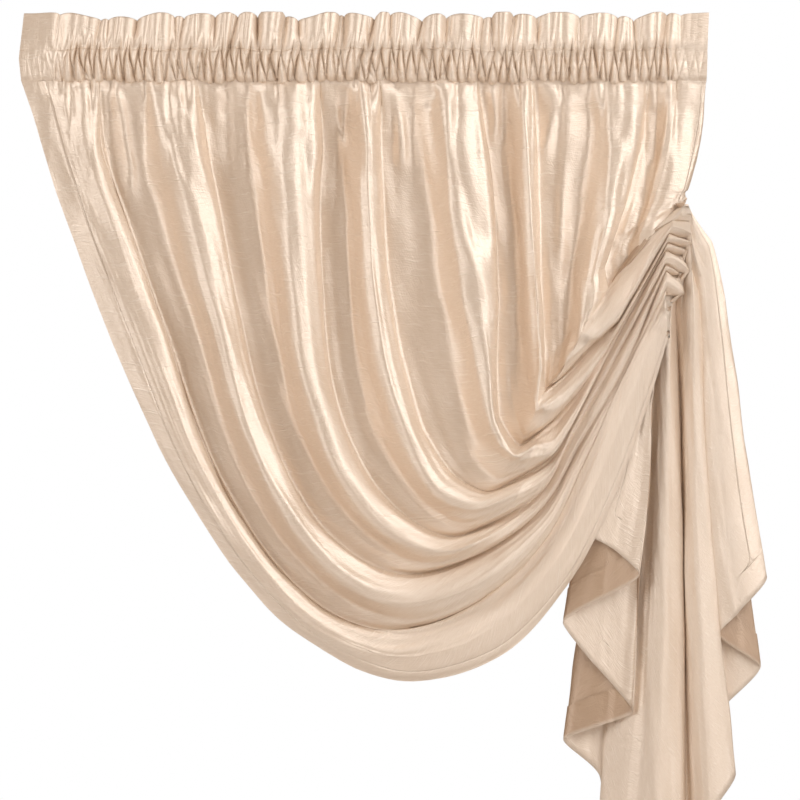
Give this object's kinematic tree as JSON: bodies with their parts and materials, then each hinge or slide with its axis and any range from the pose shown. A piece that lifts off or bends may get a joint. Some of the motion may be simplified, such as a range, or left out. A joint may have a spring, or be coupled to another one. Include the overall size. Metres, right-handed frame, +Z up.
{
  "type": "rod pocket swag curtain",
  "caption": "Satin-like curtain panel gathered on a rod pocket heading, swept to one side into a ruche and falling from it as a folded tail with stepped hems.",
  "frame": {"origin": "middle of the heading's top edge, on the centre plane of the heading cloth", "axes": "+Z up, +X towards the side on which the tail hangs, seen from the front, and the front faces -Y"},
  "size_m": [0.8991, 0.0728, 0.996],
  "materials": {
    "gathered_cloth": "champagne slubbed faux silk, soft lustre, tightly gathered",
    "draped_cloth": "champagne slubbed faux silk, soft lustre, hanging in crisp folds"
  },
  "bodies": {
    "root": {"heading": "gathered_cloth", "panel": "draped_cloth"}
  },
  "joints": []
}
